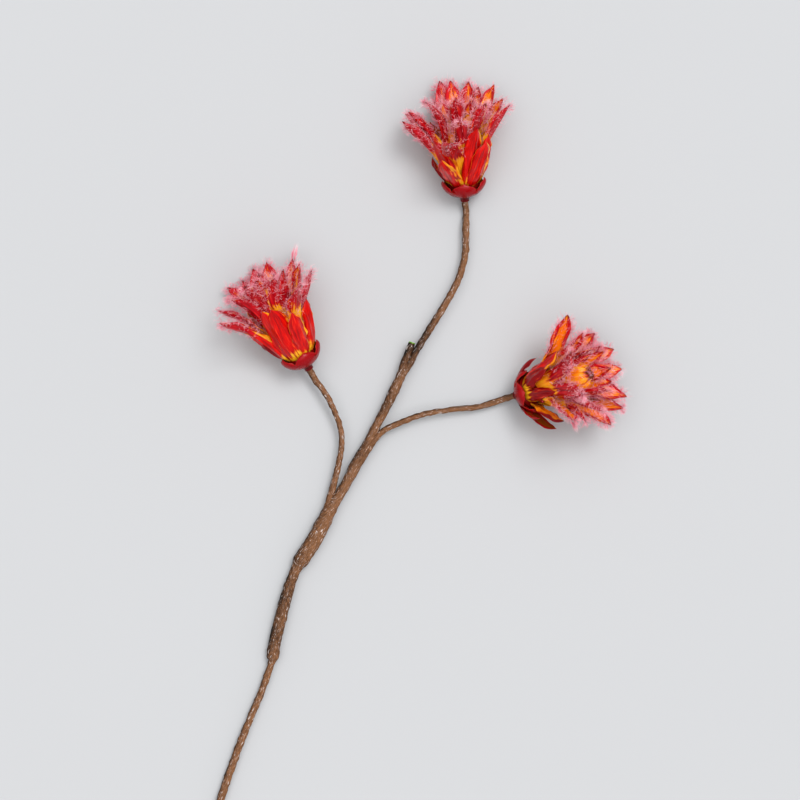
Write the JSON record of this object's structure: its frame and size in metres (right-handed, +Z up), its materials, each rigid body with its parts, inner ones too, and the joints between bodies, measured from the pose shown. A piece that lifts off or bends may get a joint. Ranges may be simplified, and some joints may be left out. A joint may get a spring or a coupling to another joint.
{
  "type": "dried king protea flower spray",
  "caption": "Cut king protea spray lying on its side: a tape-wrapped branching stalk, each branch ending in a bract cup that holds a flaring head of layered red petals.",
  "frame": {"origin": "middle of the spray's box, at the surface it lies on", "axes": "+Y along the spray from its cut end towards its blooms, +Z up from the surface it lies on"},
  "size_m": [0.351, 0.6805, 0.0901],
  "materials": {
    "stem_tape": "matte brown paper tape",
    "calyx": "dark red, satin",
    "petals": "red and orange soft pads with pink hairs"
  },
  "bodies": {
    "root": {"stem": "stem_tape", "top_calyx": "calyx", "left_calyx": "calyx", "right_calyx": "calyx", "top_petals": "petals", "left_petals": "petals", "right_petals": "petals"}
  },
  "joints": []
}
